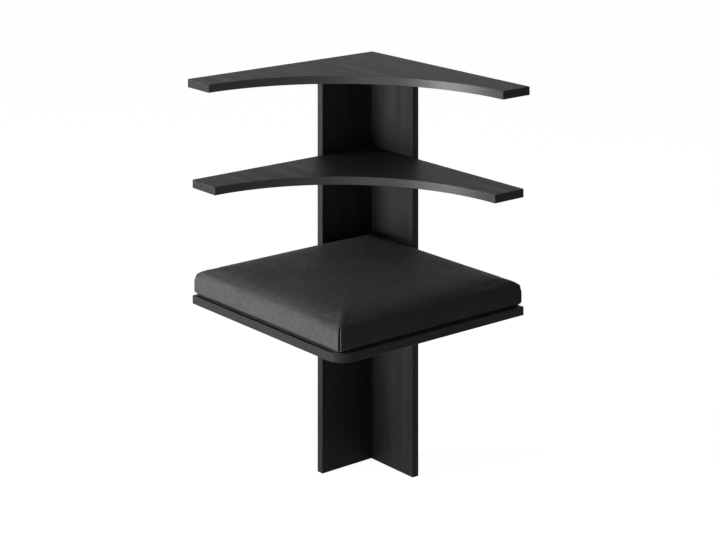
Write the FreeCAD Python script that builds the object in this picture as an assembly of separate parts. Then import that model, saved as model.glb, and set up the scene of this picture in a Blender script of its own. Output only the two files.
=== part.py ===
import FreeCAD, Part

# Corner bench: a V-shaped column of two panels stands in the corner of a room and carries
# a square seat with a loose cushion, and two shelves whose fronts are concave arcs.
# Millimetres, +Z up. The origin is where the two walls meet the floor: the left wall is
# the plane x = 0 and the back wall is the plane y = 0, so the bench lies in +x and -y.
# It is the same on both sides of the diagonal plane y = -x, apart from the column's corner
# joint and the cushion's zip.

import math
import os

V = FreeCAD.Vector
UP = V(0, 0, 1)
DOWN = V(0, 0, -1)

# Boards
board_thickness = 18.0
edge_ease = 0.6             # chamfer on every board edge
overall_height = 932.0      # top face of the top shelf
panel_reach = 144.0         # each panel, from the column's inner corner to its free edge
seat_side = 500.0           # seat board, from the panels' inner faces to the side planes
seat_top = 471.0
seat_corner_radius = 40.0
lower_shelf_top = 719.0
lower_wing_depth = 83.0     # lower shelf at its wing ends, from the panels' inner faces
top_wing_depth = 60.0       # top shelf at its wing ends, from the panels' inner faces

# Panel screws, driven through a panel into the edge of another board
panel_screw_head_radius = 5.0
panel_screw_head_depth = 3.0
panel_screw_radius = 3.5
panel_screw_length = 50.0

# Wood screws that hold the bracket
wood_screw_head_radius = 4.5
wood_screw_head_height = 2.6
wood_screw_radius = 2.5
wood_screw_length = 16.0

# Dowels
dowel_radius = 4.0
dowel_length = 35.0
dowel_face_depth = 12.0     # how far a dowel goes into the face of a board

# Fits of screws and dowels in their holes
hole_clearance = 0.15       # on the radius
hole_bottom_gap = 1.0

# Places of the fixings
near_fixing = 50.0          # inner corner to the first panel screw of a shelf or the seat
far_fixing_edge = 29.0      # last panel screw to the panel's free edge
top_dowel_near = 20.0       # inner corner to the first dowel under the top shelf
top_dowel_edge = 64.0       # last dowel under the top shelf to the panel's free edge
corner_screw_count = 3
corner_screw_end = 60.0     # panel ends to the first and last corner screw

# Holes for fixing the bench to the walls
wall_hole_radius = 3.5
wall_hole_near = 45.0       # inner corner to the first hole
wall_hole_edge = 29.0       # last hole to the panel's free edge
wall_hole_drop = 22.0       # below the underside of the top shelf

# Steel bracket under the seat
bracket_thickness = 4.0
bracket_setback = 14.0      # bracket's ends to the panels' free edges
bracket_corner_drop = 62.0  # depth of the flanges at the inner corner
bracket_end_drop = 44.0     # depth of the flanges at their ends
bracket_nose = 22.0         # width of the plate at its ends
bracket_rounding = 6.0
bracket_hole_drop = 26.0    # below the underside of the seat
bracket_inner_screw = 30.0  # inner corner to the plate's innermost screw, along both panels
bracket_outer_screw = 36.0  # outer plate screws to the nearer panel's inner face
bracket_outer_edge = 40.0   # outer plate screws to the bracket's end

# Cushion
cushion_thickness = 50.0    # at the edges of its top
cushion_crown = 4.0         # extra height at the middle of the top
cushion_back_gap = 1.5      # to the panels' inner faces
cushion_front_inset = 1.0   # from the seat's side planes
cushion_top_radius = 18.0
cushion_bottom_radius = 9.0
cushion_corner_radius = 7.0
seam_pinch = 1.2            # how far the corner seams are drawn in
cover_thickness = 1.5
soft_clearance = 0.3        # between the foam and the cover
base_lip = 2.0              # base cloth beyond the flat of the cushion's underside
base_seam_gap = 0.2

# Zip in the cushion's left wall side
zip_tape_width = 12.0
zip_coil_width = 4.0
zip_coil_height = 1.4
zip_coil_bevel = 0.5
zip_slot_gap = 0.2
zip_panel_clear = 15.0      # start of the zip to the left panel's free edge
zip_front_clear = 25.0      # end of the zip to the cushion's front side
stop_length = 4.0
stop_width = 6.0
stop_height = 2.2
stop_gap = 0.1
slider_length = 11.0
slider_width = 8.0
slider_height = 3.0
slider_gap = 0.3
slider_to_stop = 0.5
loop_length = 7.0
loop_height = 2.6
loop_width = 2.4
loop_wall = 1.1

# Places that follow from the sizes above
side = board_thickness + seat_side
panel_height = overall_height - board_thickness
panel_end = board_thickness + panel_reach
seat_bottom = seat_top - board_thickness
lower_shelf_bottom = lower_shelf_top - board_thickness
cushion_low = board_thickness + cushion_back_gap
cushion_high = side - cushion_front_inset
cushion_half = (cushion_high - cushion_low) / 2
cushion_middle = (cushion_high + cushion_low) / 2
zip_height = seat_top + (cushion_bottom_radius + cushion_thickness - cushion_top_radius) / 2
zip_start = -(panel_end + zip_panel_clear)
zip_end = zip_front_clear - cushion_high


# Helpers


def mirrored(vector):
    """The same place or direction on the other side of the bench's diagonal."""
    return V(-vector.y, -vector.x, vector.z)


def both_sides(spots):
    """The given (point, direction) pairs and their mirror images."""
    return spots + [(mirrored(point), mirrored(direction)) for point, direction in spots]


def placed(shape, spot):
    """A shape made along +Z from the origin, moved to a (point, direction) pair."""
    point, direction = spot
    shape.Placement = FreeCAD.Placement(point, FreeCAD.Rotation(UP, direction))
    return shape


def line(start, end):
    return Part.makeLine(start, end)


def arc(start, middle, end):
    return Part.Arc(start, middle, end).toShape()


def extruded(edges, direction):
    return Part.Face(Part.Wire(edges)).extrude(direction)


def polygon(points):
    """Edges of a closed polygon."""
    return [line(a, b) for a, b in zip(points, points[1:] + points[:1])]


def rounded_polygon(points, radii):
    """Edges of a closed polygon with an arc at each corner whose radius isn't zero."""
    starts, ends, bends = [], [], []
    for index, corner in enumerate(points):
        to_last = (points[index - 1] - corner).normalize()
        to_next = (points[(index + 1) % len(points)] - corner).normalize()
        half_angle = to_last.getAngle(to_next) / 2
        tangent = radii[index] / math.tan(half_angle)
        inward = (to_last + to_next).normalize()
        starts.append(corner + to_last * tangent)
        ends.append(corner + to_next * tangent)
        bends.append(corner + inward * radii[index] * (1 / math.sin(half_angle) - 1))
    edges = []
    for index, radius in enumerate(radii):
        if radius > 0:
            edges.append(arc(starts[index], bends[index], ends[index]))
        edges.append(line(ends[index], starts[(index + 1) % len(points)]))
    return edges


def eased(solid):
    """A board with the sharpness taken off all its edges."""
    return solid.makeChamfer(edge_ease, solid.Edges)


def drilled(solid, tools):
    """A board or plate with holes cut, as the one solid that it stays."""
    return solid.cut(tools).Solids[0]


def turned(profile):
    """Solid of revolution about +Z, from (radius, height) points that start and end on the axis."""
    points = [V(radius, 0, height) for radius, height in profile]
    return Part.Face(Part.Wire(polygon(points))).revolve(V(0, 0, 0), UP, 360)


# Fasteners, each made along +Z


def panel_screw():
    """Screw with a sunk head whose flat face is at height 0."""
    return turned([
        (0, 0),
        (panel_screw_head_radius, 0),
        (panel_screw_radius, panel_screw_head_depth),
        (panel_screw_radius, panel_screw_length),
        (0, panel_screw_length),
    ])


def panel_screw_hole():
    mouth = panel_screw_head_radius + hole_clearance
    shank = panel_screw_radius + hole_clearance
    return turned([
        (0, -hole_bottom_gap),
        (mouth, -hole_bottom_gap),
        (mouth, 0),
        (shank, panel_screw_head_depth),
        (shank, panel_screw_length + hole_bottom_gap),
        (0, panel_screw_length + hole_bottom_gap),
    ])


def wood_screw():
    """Screw whose head bears on the plane at height 0."""
    return turned([
        (0, -wood_screw_head_height),
        (wood_screw_head_radius, -wood_screw_head_height),
        (wood_screw_head_radius, 0),
        (wood_screw_radius, 0),
        (wood_screw_radius, wood_screw_length),
        (0, wood_screw_length),
    ])


def wood_screw_hole():
    depth = wood_screw_length + 2 * hole_bottom_gap
    return Part.makeCylinder(wood_screw_radius + hole_clearance, depth, DOWN * hole_bottom_gap)


def dowel():
    """Dowel across the joint at height 0, with its shorter end in a board's face below it."""
    return Part.makeCylinder(dowel_radius, dowel_length, DOWN * dowel_face_depth)


def dowel_hole():
    start = DOWN * (dowel_face_depth + hole_bottom_gap)
    length = dowel_length + 2 * hole_bottom_gap
    return Part.makeCylinder(dowel_radius + hole_clearance, length, start)


def wall_hole():
    """Through hole for a wall screw, from the face of a panel or the bracket to the wall."""
    depth = bracket_thickness + board_thickness + 2 * hole_bottom_gap
    return Part.makeCylinder(wall_hole_radius, depth, DOWN * hole_bottom_gap)


# Where the fasteners go. Each list gives the right side, or both sides.

INTO_ROOM = V(0, -1, 0)     # from the back wall, through the right panel
INTO_WALL = V(0, 1, 0)
ALONG_WALL = V(1, 0, 0)     # from the left wall, through the left panel


def edge_screw_spots(height):
    """Panel screws into the back edges of a board whose middle is at this height."""
    places = [near_fixing, panel_reach - far_fixing_edge]
    return both_sides([(V(board_thickness + s, 0, height), INTO_ROOM) for s in places])


corner_heights = [
    corner_screw_end + index * (panel_height - 2 * corner_screw_end) / (corner_screw_count - 1)
    for index in range(corner_screw_count)
]
corner_screw_spots = [
    (V(0, -board_thickness / 2, height), ALONG_WALL) for height in corner_heights
]
corner_dowel_spots = [
    (V(board_thickness, -board_thickness / 2, (below + above) / 2), ALONG_WALL)
    for below, above in zip(corner_heights, corner_heights[1:])
]
lower_shelf_screw_spots = edge_screw_spots(lower_shelf_top - board_thickness / 2)
seat_screw_spots = edge_screw_spots(seat_top - board_thickness / 2)
top_dowel_spots = both_sides([
    (V(board_thickness + s, -board_thickness / 2, panel_height), DOWN)
    for s in (top_dowel_near, panel_reach - top_dowel_edge)
])

wall_hole_places = [wall_hole_near, panel_reach - wall_hole_edge]
top_wall_spots = both_sides([
    (V(board_thickness + s, -board_thickness, panel_height - wall_hole_drop), INTO_WALL)
    for s in wall_hole_places
])
bracket_face = -board_thickness - bracket_thickness
bracket_hole_height = seat_bottom - bracket_hole_drop
bracket_wall_spots = both_sides([
    (V(board_thickness + s, bracket_face, bracket_hole_height), INTO_WALL)
    for s in wall_hole_places
])
bracket_end = panel_end - bracket_setback
plate_underside = seat_bottom - bracket_thickness
outer_spot = V(bracket_end - bracket_outer_edge, -board_thickness - bracket_outer_screw, plate_underside)
inner_place = board_thickness + bracket_inner_screw
inner_spot = V(inner_place, -inner_place, plate_underside)
bracket_seat_spots = both_sides([(outer_spot, UP)]) + [(inner_spot, UP)]


def fasteners(maker, spots):
    """One fastener, or the cutter of its hole, at each spot."""
    return [placed(maker(), spot) for spot in spots]


edge_holes = fasteners(panel_screw_hole, lower_shelf_screw_spots + seat_screw_spots)
corner_holes = fasteners(panel_screw_hole, corner_screw_spots)
corner_holes += fasteners(dowel_hole, corner_dowel_spots)
top_dowel_holes = fasteners(dowel_hole, top_dowel_spots)
wall_holes = fasteners(wall_hole, top_wall_spots)
bracket_wall_holes = fasteners(wall_hole, bracket_wall_spots)
bracket_seat_holes = fasteners(wood_screw_hole, bracket_seat_spots)
panel_holes = edge_holes + corner_holes + top_dowel_holes + wall_holes + bracket_wall_holes


# Boards


def left_panel():
    """Runs through to the back wall, so that the right panel butts against its inner face."""
    corner = V(0, -panel_end, 0)
    return drilled(eased(Part.makeBox(board_thickness, panel_end, panel_height, corner)), panel_holes)


def right_panel():
    corner = V(board_thickness, -board_thickness, 0)
    return drilled(eased(Part.makeBox(panel_reach, board_thickness, panel_height, corner)), panel_holes)


def front_outline(back, right_front, middle, height):
    """Edges of a board whose back corner is on the diagonal and whose front is one arc."""
    corner = V(back, -back, height)
    right_back = V(side, -back, height)
    right_front = V(right_front.x, right_front.y, height)
    middle = V(middle.x, middle.y, height)
    left_front = mirrored(right_front)
    left_back = mirrored(right_back)
    return [
        line(corner, right_back),
        line(right_back, right_front),
        arc(right_front, middle, left_front),
        line(left_front, left_back),
        line(left_back, corner),
    ]


def arc_shelf(back, wing_depth, bottom):
    """Shelf with two wings and a concave front, an arc about the seat's front corner."""
    radius = seat_side - wing_depth
    across = radius * math.sqrt(0.5)
    edges = front_outline(back, V(side, radius - side, 0), V(side - across, across - side, 0), bottom)
    return eased(extruded(edges, UP * board_thickness))


def top_shelf():
    """Lies on the panels and covers their thickness."""
    return drilled(arc_shelf(0, top_wing_depth, panel_height), top_dowel_holes)


def lower_shelf():
    """Sits between the panels' inner faces."""
    return drilled(arc_shelf(board_thickness, lower_wing_depth, lower_shelf_bottom), edge_holes)


def seat_board():
    """Square board whose front corner is rounded."""
    radius = seat_corner_radius
    inset = radius * (1 - math.sqrt(0.5))
    right_front = V(side, radius - side, 0)
    middle = V(side - inset, inset - side, 0)
    edges = front_outline(board_thickness, right_front, middle, seat_bottom)
    board = eased(extruded(edges, UP * board_thickness))
    return drilled(board, edge_holes + bracket_seat_holes)


# Steel bracket under the seat


def bracket_flange():
    """Upright flange against the right panel, shallower towards its end."""
    top = seat_bottom
    points = [
        V(board_thickness, -board_thickness, top),
        V(bracket_end, -board_thickness, top),
        V(bracket_end, -board_thickness, top - bracket_end_drop),
        V(board_thickness, -board_thickness, top - bracket_corner_drop),
    ]
    edges = rounded_polygon(points, [0, 0, bracket_rounding, 0])
    return extruded(edges, INTO_ROOM * bracket_thickness)


def bracket_plate():
    """Plate against the seat's underside, cut off across the diagonal."""
    low = board_thickness
    nose = board_thickness + bracket_nose
    points = [
        V(low, -low, plate_underside),
        V(bracket_end, -low, plate_underside),
        V(bracket_end, -nose, plate_underside),
        V(nose, -bracket_end, plate_underside),
        V(low, -bracket_end, plate_underside),
    ]
    edges = rounded_polygon(points, [0, 0, bracket_rounding, bracket_rounding, 0])
    return extruded(edges, UP * bracket_thickness)


def seat_bracket():
    """Welded from a plate and two flanges."""
    right = bracket_flange()
    left = right.mirror(V(0, 0, 0), V(1, 1, 0))
    welded = bracket_plate().fuse([right, left]).removeSplitter()
    return drilled(welded, bracket_wall_holes + bracket_seat_holes)


# Cushion


def cushion_outline(half, radius, pinch, height):
    """Edges of a square with rounded corners, each drawn in at its middle by a sewn seam."""
    edges = []
    straight = half - radius
    centre = V(straight, straight, 0)
    for quarter in range(4):
        turn = FreeCAD.Rotation(UP, 90 * quarter)

        def at(point):
            return turn.multVec(point) + V(cushion_middle, -cushion_middle, height)

        def corner(degrees, distance):
            angle = math.radians(degrees)
            return at(centre + V(math.cos(angle), math.sin(angle), 0) * distance)

        seam = corner(45, radius - pinch)
        edges.append(line(at(V(half, -straight, 0)), corner(0, radius)))
        edges.append(arc(corner(0, radius), corner(22.5, radius), seam))
        edges.append(arc(seam, corner(67.5, radius), corner(90, radius)))
    return edges


def cushion_profile(skin):
    """Edges of the upright section from back to front, a skin's thickness inside the cover.

    The underside is flat, the sides are upright between two roundings, and the upper
    rounding runs on smoothly into the crown.
    """
    half = cushion_half - skin
    low = cushion_bottom_radius - skin
    top = cushion_top_radius - skin
    shoulder = cushion_thickness - cushion_top_radius
    slope = 2 * math.atan(cushion_crown / (cushion_half - cushion_top_radius))

    def at(across, height):
        return V(cushion_low + skin, across - cushion_middle, seat_top + height)

    def rounding(sign, radius, height, angle):
        across = half - radius + radius * math.cos(angle)
        return at(sign * across, height + radius * math.sin(angle))

    def side_edges(sign):
        foot = at(sign * (half - low), skin)
        foot_bend = rounding(sign, low, cushion_bottom_radius, -math.pi / 4)
        heel = at(sign * half, cushion_bottom_radius)
        brow = at(sign * half, shoulder)
        brow_bend = rounding(sign, top, shoulder, math.pi / 4)
        rim = rounding(sign, top, shoulder, math.pi / 2 - slope)
        return foot, rim, [arc(foot, foot_bend, heel), line(heel, brow), arc(brow, brow_bend, rim)]

    left_foot, left_rim, left_edges = side_edges(-1)
    right_foot, right_rim, right_edges = side_edges(1)
    reach = abs(right_rim.y - left_rim.y) / 2
    summit = V(right_rim.x, -cushion_middle, right_rim.z + reach * math.tan(slope / 2))
    crown = [arc(left_rim, summit, right_rim), line(right_foot, left_foot)]
    return Part.__sortEdges__(left_edges + right_edges + crown)


def cushion_form(skin):
    """The cushion's outer form, or the form that lies a skin's thickness inside it.

    It is what an upright section run along each side and the plan outline have in common.
    """
    half = cushion_half - skin
    along = extruded(cushion_profile(skin), ALONG_WALL * 2 * half)
    across = along.mirror(V(0, 0, 0), V(1, 1, 0))
    outline = cushion_outline(half, cushion_corner_radius - skin, seam_pinch, seat_top + skin)
    tower = extruded(outline, UP * (cushion_thickness + cushion_crown))
    return along.common(across).common(tower).Solids[0]


def base_sheet(extra):
    """The base cloth: the flat of the underside and a lip, grown by a little more for its opening."""
    half = cushion_half - cushion_bottom_radius + base_lip + extra
    radius = cushion_corner_radius + cushion_bottom_radius
    return extruded(cushion_outline(half, radius, 0, seat_top), UP * cover_thickness)


def zip_slot():
    """Opening in the cover's left side that the zip's tape fills."""
    width = zip_tape_width + 2 * zip_slot_gap
    length = zip_start - zip_end + 2 * zip_slot_gap
    corner = V(cushion_low - cover_thickness, zip_end - zip_slot_gap, zip_height - width / 2)
    return Part.makeBox(3 * cover_thickness, length, width, corner)


def cushion_cover():
    """Top and sides in one skin, open for the base cloth and the zip."""
    opening = base_sheet(base_seam_gap)
    return drilled(cushion_form(0), [cushion_form(cover_thickness), opening, zip_slot()])


def cushion_base():
    return base_sheet(0)


def cushion_foam():
    return cushion_form(cover_thickness + soft_clearance)


# Zip. Its profiles are (distance out of the cover's face, height above the zip's middle).


def along_zip(profile, start, length):
    """A profile swept along the zip, from a place on it towards the bench's front."""
    points = [V(cushion_low - out, start, zip_height + rise) for out, rise in profile]
    return extruded(polygon(points), INTO_ROOM * length)


def zip_chain():
    """Tape with the closed coil standing out of it."""
    tape = zip_tape_width / 2
    coil = zip_coil_width / 2
    crest = coil - zip_coil_bevel
    shoulder = zip_coil_height - zip_coil_bevel
    profile = [
        (-cover_thickness, -tape),
        (0, -tape),
        (0, -coil),
        (shoulder, -coil),
        (zip_coil_height, -crest),
        (zip_coil_height, crest),
        (shoulder, coil),
        (0, coil),
        (0, tape),
        (-cover_thickness, tape),
    ]
    return along_zip(profile, zip_start, zip_start - zip_end)


def saddle(start, length, width, height, gap):
    """Block astride the coil, with a gap to the coil and the tape."""
    outer = width / 2
    inner = zip_coil_width / 2 + gap
    roof = zip_coil_height + gap
    profile = [
        (gap, -outer),
        (height, -outer),
        (height, outer),
        (gap, outer),
        (gap, inner),
        (roof, inner),
        (roof, -inner),
        (gap, -inner),
    ]
    return along_zip(profile, start, length)


def zip_stops():
    """A stop at each end of the zip."""
    starts = [zip_start, zip_end + stop_length]
    stops = [saddle(start, stop_length, stop_width, stop_height, stop_gap) for start in starts]
    return Part.makeCompound(stops)


def zip_slider():
    """Slider at the zip's closed end, with a fixed loop to pull it by."""
    start = zip_start - stop_length - slider_to_stop
    body = saddle(start, slider_length, slider_width, slider_height, slider_gap)
    near = start - (slider_length - loop_length) / 2
    far = near - loop_length
    foot = cushion_low - slider_height
    crest = foot - loop_height
    height = zip_height - loop_width / 2
    points = [
        V(foot, near, height),
        V(crest, near - loop_wall, height),
        V(crest, far + loop_wall, height),
        V(foot, far, height),
        V(foot, far + loop_wall, height),
        V(crest + loop_wall, far + 2 * loop_wall, height),
        V(crest + loop_wall, near - 2 * loop_wall, height),
        V(foot, near - loop_wall, height),
    ]
    loop = extruded(polygon(points), UP * loop_width)
    return body.fuse(loop).removeSplitter().Solids[0]


nodes = {
    "left_panel": left_panel(),
    "right_panel": right_panel(),
    "top_shelf": top_shelf(),
    "lower_shelf": lower_shelf(),
    "seat_board": seat_board(),
    "seat_bracket": seat_bracket(),
    "corner_screws": Part.makeCompound(fasteners(panel_screw, corner_screw_spots)),
    "corner_dowels": Part.makeCompound(fasteners(dowel, corner_dowel_spots)),
    "lower_shelf_screws": Part.makeCompound(fasteners(panel_screw, lower_shelf_screw_spots)),
    "seat_screws": Part.makeCompound(fasteners(panel_screw, seat_screw_spots)),
    "top_shelf_dowels": Part.makeCompound(fasteners(dowel, top_dowel_spots)),
    "bracket_seat_screws": Part.makeCompound(fasteners(wood_screw, bracket_seat_spots)),
    "cushion_cover": cushion_cover(),
    "cushion_base": cushion_base(),
    "cushion_foam": cushion_foam(),
    "zip_chain": zip_chain(),
    "zip_stops": zip_stops(),
    "zip_slider": zip_slider(),
}

os.makedirs("parts", exist_ok=True)
for name, shape in nodes.items():
    shape.exportStep(os.path.join("parts", name + ".step"))
    print(name, len(shape.Solids), shape.isValid(), round(shape.Volume))
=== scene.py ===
"""Looks of the corner bench: black satin plywood, a dark leather cushion, and a pale studio."""
import math

import bpy
from mathutils import Matrix, Vector


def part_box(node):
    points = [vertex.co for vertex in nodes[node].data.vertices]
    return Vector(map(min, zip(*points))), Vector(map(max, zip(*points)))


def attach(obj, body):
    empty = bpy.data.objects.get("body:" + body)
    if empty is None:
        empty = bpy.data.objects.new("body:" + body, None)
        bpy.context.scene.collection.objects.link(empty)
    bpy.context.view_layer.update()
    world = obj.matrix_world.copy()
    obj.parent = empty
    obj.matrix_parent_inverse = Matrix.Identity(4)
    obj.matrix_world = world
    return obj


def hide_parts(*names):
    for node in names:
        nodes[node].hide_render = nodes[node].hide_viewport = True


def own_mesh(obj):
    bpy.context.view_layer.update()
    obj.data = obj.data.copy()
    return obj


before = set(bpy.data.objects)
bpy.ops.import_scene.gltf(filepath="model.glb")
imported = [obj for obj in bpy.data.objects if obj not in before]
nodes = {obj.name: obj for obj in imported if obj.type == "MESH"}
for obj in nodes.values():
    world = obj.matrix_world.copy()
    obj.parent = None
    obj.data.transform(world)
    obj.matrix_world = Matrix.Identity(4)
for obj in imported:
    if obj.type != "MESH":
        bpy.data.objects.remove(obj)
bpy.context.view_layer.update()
scene = bpy.context.scene
scene.view_settings.view_transform = "Standard"

# Sizes are in metres
MM = 0.001
QUARTER = math.pi / 2

# Boards
PLY_COUNT = 7
BOARD_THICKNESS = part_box("top_shelf")[1].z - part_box("top_shelf")[0].z
ARC_CENTRE_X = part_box("top_shelf")[1].x
ARC_CENTRE_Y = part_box("top_shelf")[0].y
TOP_ARC_RADIUS = 440 * MM
LOWER_ARC_RADIUS = 417 * MM
# Arc front band: it gets a glossy coat and a paler colour that paints a highlight there
ARC_FRONT_DEPTH = 1 * MM
ARC_FRONT_EASE = 0.4 * MM

# Cushion
CUSHION_VOXEL = 6 * MM
CUSHION_PRESSURE = 4
CUSHION_FRAMES = 20
START_INSET = 0.8 * MM
RESTING_HEIGHT = 1.5 * MM
SHOULDER_LIFT = 3.5 * MM
SIDE_SWELL = 0.8 * MM
TOP_SWELL = 9.5 * MM
TOP_SWELL_EASE = 20 * MM
SOFT_CORNER_DROP = 20 * MM
SOFT_CORNER_REACH = 60 * MM
SOFT_CORNER_PASSES = 12
TUCK_HEIGHT = 5 * MM
TUCK_EASE = 2 * MM
TUCK_DEPTH = 7 * MM
SIDE_PULL_IN = 1.6 * MM
PULL_IN_REACH = 30 * MM
CORNER_ZONE = 16 * MM
SEAM_DEPTH = 2.4 * MM
SEAM_HALF_WIDTH = 1.3 * MM
SEAM_LIP = 0.8 * MM
SEAM_LIP_OFFSET = 3.2 * MM
SEAM_FADE = 6 * MM
SEAM_FOOT = 2 * MM
SEAM_HEAD = 9 * MM
# Width of the near-black band that paints shade in each corner seam's groove
SEAM_SHADE_WIDTH = 0.8 * SEAM_HALF_WIDTH
CHANNEL_DEPTH = 2.6 * MM
CHANNEL_GAP_Y = 1 * MM
CHANNEL_GAP_Z = 0.5 * MM
CHANNEL_FINE_X = 2 * MM
CHANNEL_FINE_Y = 6 * MM
CHANNEL_FINE_Z = 3 * MM

# Base cloth
CLOTH_CELLS = 40
HEM_WIDTH = 12 * MM
HEM_EASE = 2 * MM
HEM_RISE = 0.4 * MM
CLOTH_THICKNESS = 0.8 * MM

# Zip
ZIP_TAPE_THICKNESS = 1.3 * MM
ZIP_SELVAGE = 0.7 * MM
ZIP_SELVAGE_RISE = 0.25 * MM
ZIP_TAPE_EDGE = 0.15 * MM
ZIP_PITCH = 1.5 * MM
ZIP_LOOP_DEPTH = 1.8 * MM
ZIP_LOOP_RADIUS = 1.5 * MM
ZIP_WIRE_RADIUS = 0.4 * MM
SLIDER_PLATE = 2.0 * MM
SLIDER_RAIL_HEIGHT = 1.4 * MM
SLIDER_RAIL_WIDTH = 1.7 * MM
SLIDER_RAIL_START = 3.5 * MM
SLIDER_RAIL_SUNK = 0.6 * MM
SLIDER_RAIL_EDGE = 0.3 * MM
SLIDER_TAIL_SHARE = 0.75
SLIDER_EDGE = 0.5 * MM
BRIDGE_INSET = 1.6 * MM
BRIDGE_HALF_WIDTH = 1.1 * MM
BRIDGE_SUNK = 0.4 * MM
BRIDGE_BAR = 0.9 * MM
BRIDGE_EDGE = 0.25 * MM
PULL_WIDTH = 4.2 * MM
PULL_LENGTH = 14 * MM
PULL_PROUD = 0.2 * MM
PULL_SUNK = 0.8 * MM
PULL_RISE = 2.2 * MM
PULL_TAIL_SHARE = 1.25
PULL_FRAME = 0.8 * MM
PULL_EDGE = 0.3 * MM

# Screws: shank radius, head radius and head height
JOINT_SCREW = (3.5 * MM, 5 * MM, 3.5 * MM)
WOOD_SCREW = (2.5 * MM, 4.5 * MM, 2.6 * MM)
SCREW_SIDES = 24
HEAD_CHAMFER = 0.3 * MM
NECK_DROP = 0.1 * MM
THREAD_PITCH = 2.4 * MM
THREADED_SHARE = 0.7
THREAD_ROOT_SHARE = 0.78
POINT_SHARE = 0.2
SOCKET_SHARE = 0.45
SOCKET_DEPTH_SHARE = 0.65
SOCKET_EDGE_REACH = 1.6
SOCKET_LOWEST_SHARE = 0.8

# Camera, from the photograph's perspective: upright edges are upright there
IMAGE_WIDTH = 716
IMAGE_HEIGHT = 540
FOCAL_PIXELS = 1997.77
HORIZON_ROW = -316.21
CENTRE_COLUMN = 327.38
CAMERA_PLACE = Vector((3.544, -2.968, 1.782))
CAMERA_AZIMUTH = 51.343

# Floor
FLOOR_SIZE = 60
FLOOR_GREY = (0.3, 0.3, 0.3, 1)

# What the softboxes point at
BENCH_MIDDLE = (0.25, -0.3, 0.7)
BENCH_UPPER = (0.25, -0.3, 0.9)


# Studio


def photo_camera():
    """View camera on a stand: it looks down at the bench while its picture plane stays upright."""
    tilt = math.atan((IMAGE_HEIGHT / 2 - HORIZON_ROW) / FOCAL_PIXELS)
    data = bpy.data.cameras.new("camera")
    data.sensor_width = 36.0
    data.lens = FOCAL_PIXELS / math.cos(tilt) / IMAGE_WIDTH * data.sensor_width
    data.shift_x = (IMAGE_WIDTH / 2 - CENTRE_COLUMN) / IMAGE_WIDTH
    camera = bpy.data.objects.new("camera", data)
    scene.collection.objects.link(camera)
    level = Matrix.Rotation(math.radians(CAMERA_AZIMUTH), 4, "Z") @ Matrix.Rotation(math.pi / 2, 4, "X")
    upright_plane = Matrix.Identity(4)
    upright_plane[1][2] = math.sin(tilt)
    upright_plane[2][2] = math.cos(tilt)
    stand = bpy.data.objects.new("camera_stand", None)
    scene.collection.objects.link(stand)
    camera.parent = stand
    camera.matrix_parent_inverse = Matrix.Translation(CAMERA_PLACE) @ level @ upright_plane
    scene.camera = camera


def softbox(name, place, target, width, height, power, spread):
    """A softbox whose light keeps within an angle round the line to its target."""
    data = bpy.data.lights.new(name, "AREA")
    data.spread = math.radians(spread)
    data.shape = "RECTANGLE"
    data.size = width
    data.size_y = height
    data.energy = power
    light = bpy.data.objects.new(name, data)
    light.location = place
    light.rotation_euler = (Vector(target) - Vector(place)).to_track_quat("-Z", "Y").to_euler()
    scene.collection.objects.link(light)


def skylight(name, direction, strength, spread):
    """A broad even light from far away, which lights the whole floor alike."""
    data = bpy.data.lights.new(name, "SUN")
    data.energy = strength
    data.angle = math.radians(spread)
    light = bpy.data.objects.new(name, data)
    light.rotation_euler = Vector(direction).to_track_quat("-Z", "Y").to_euler()
    scene.collection.objects.link(light)


def seen_rays(tree):
    """1 on the rays that show the background: camera, mirror and see-through rays."""
    path = tree.nodes.new("ShaderNodeLightPath")
    seen = path.outputs["Is Camera Ray"]
    for kind in ("Is Glossy Ray", "Is Transmission Ray"):
        either = tree.nodes.new("ShaderNodeMath")
        either.operation = "MAXIMUM"
        tree.links.new(seen, either.inputs[0])
        tree.links.new(path.outputs[kind], either.inputs[1])
        seen = either.outputs[0]
    return seen


def white_world(fill_strength):
    """White where it is seen, and a dim even fill for the light that it gives."""
    world = bpy.data.worlds.new("studio")
    world.use_nodes = True
    scene.world = world
    tree = world.node_tree
    shown = tree.nodes["Background"]
    shown.inputs["Color"].default_value = (1, 1, 1, 1)
    fill = tree.nodes.new("ShaderNodeBackground")
    fill.inputs["Color"].default_value = (1, 1, 1, 1)
    fill.inputs["Strength"].default_value = fill_strength
    choice = tree.nodes.new("ShaderNodeMixShader")
    tree.links.new(seen_rays(tree), choice.inputs[0])
    tree.links.new(fill.outputs[0], choice.inputs[1])
    tree.links.new(shown.outputs[0], choice.inputs[2])
    tree.links.new(choice.outputs[0], tree.nodes["World Output"].inputs["Surface"])


def pale_floor(glow_strength):
    """A matt grey floor that takes the bench's shadow and is lifted to white where it is seen."""
    bpy.ops.object.select_all(action="DESELECT")
    bpy.ops.mesh.primitive_plane_add(size=FLOOR_SIZE)
    plane = bpy.context.object
    plane.name = "floor"
    material = bpy.data.materials.new("pale_floor")
    material.use_nodes = True
    tree = material.node_tree
    tree.nodes.remove(tree.nodes["Principled BSDF"])
    paint = tree.nodes.new("ShaderNodeBsdfDiffuse")
    paint.inputs["Color"].default_value = FLOOR_GREY
    glow = tree.nodes.new("ShaderNodeEmission")
    lift = tree.nodes.new("ShaderNodeMath")
    lift.operation = "MULTIPLY"
    lift.inputs[1].default_value = glow_strength
    both = tree.nodes.new("ShaderNodeAddShader")
    tree.links.new(seen_rays(tree), lift.inputs[0])
    tree.links.new(lift.outputs[0], glow.inputs["Strength"])
    tree.links.new(paint.outputs[0], both.inputs[0])
    tree.links.new(glow.outputs[0], both.inputs[1])
    tree.links.new(both.outputs[0], tree.nodes["Material Output"].inputs["Surface"])
    plane.data.materials.append(material)


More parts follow.
